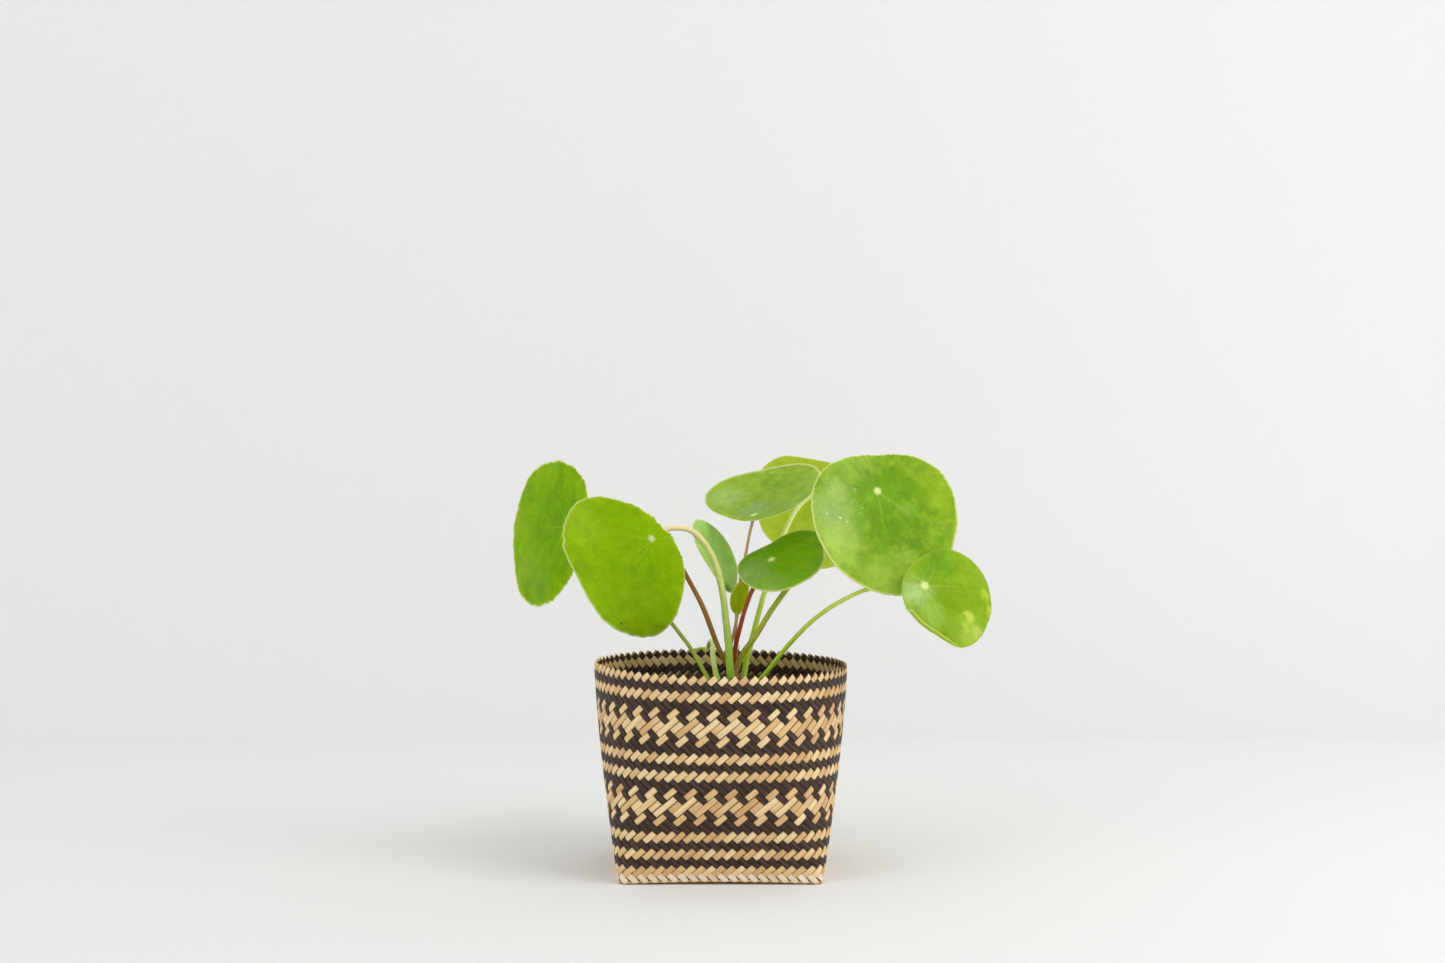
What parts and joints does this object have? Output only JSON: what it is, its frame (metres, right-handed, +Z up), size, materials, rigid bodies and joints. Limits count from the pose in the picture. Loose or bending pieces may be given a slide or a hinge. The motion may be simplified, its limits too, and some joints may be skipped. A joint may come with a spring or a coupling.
{
  "type": "potted pilea plant",
  "caption": "Money plant with round shield-like leaves on long arching stalks, growing in a nursery pot that stands in a small two-tone woven basket.",
  "frame": {"origin": "on the basket's axis, at the level of the surface it stands on", "axes": "+Z up, -Y towards the front of the plant, +X to the right-hand side seen from the front"},
  "size_m": [0.2703, 0.1918, 0.2281],
  "materials": {
    "woven_strands": "plaited natural and dark dyed plant strips, satin",
    "pot_plastic": "thin moulded polypropylene",
    "soil": "moist peat mix, rough",
    "bark": "corky young bark with papery scales",
    "stalk": "smooth fleshy stem, satin",
    "leaf": "fleshy blade, semi-gloss, slightly translucent"
  },
  "bodies": {
    "root": {"woven_basket": "woven_strands", "nursery_pot": "pot_plastic", "potting_soil": "soil", "trunk": "bark", "stalk_far_left": "stalk", "leaf_far_left": "leaf", "stalk_big_left": "stalk", "leaf_big_left": "leaf", "stalk_centre_upper": "stalk", "leaf_centre_upper": "leaf", "stalk_centre_lower": "stalk", "leaf_centre_lower": "leaf", "stalk_back": "stalk", "leaf_back": "leaf", "stalk_large_right": "stalk", "leaf_large_right": "leaf", "stalk_lower_right": "stalk", "leaf_lower_right": "leaf", "stalk_small_middle": "stalk", "leaf_small_middle": "leaf", "stalk_bud": "stalk", "leaf_bud": "leaf", "stalk_hidden_left": "stalk", "leaf_hidden_left": "leaf", "stalk_low_back": "stalk", "leaf_low_back": "leaf"}
  },
  "joints": []
}
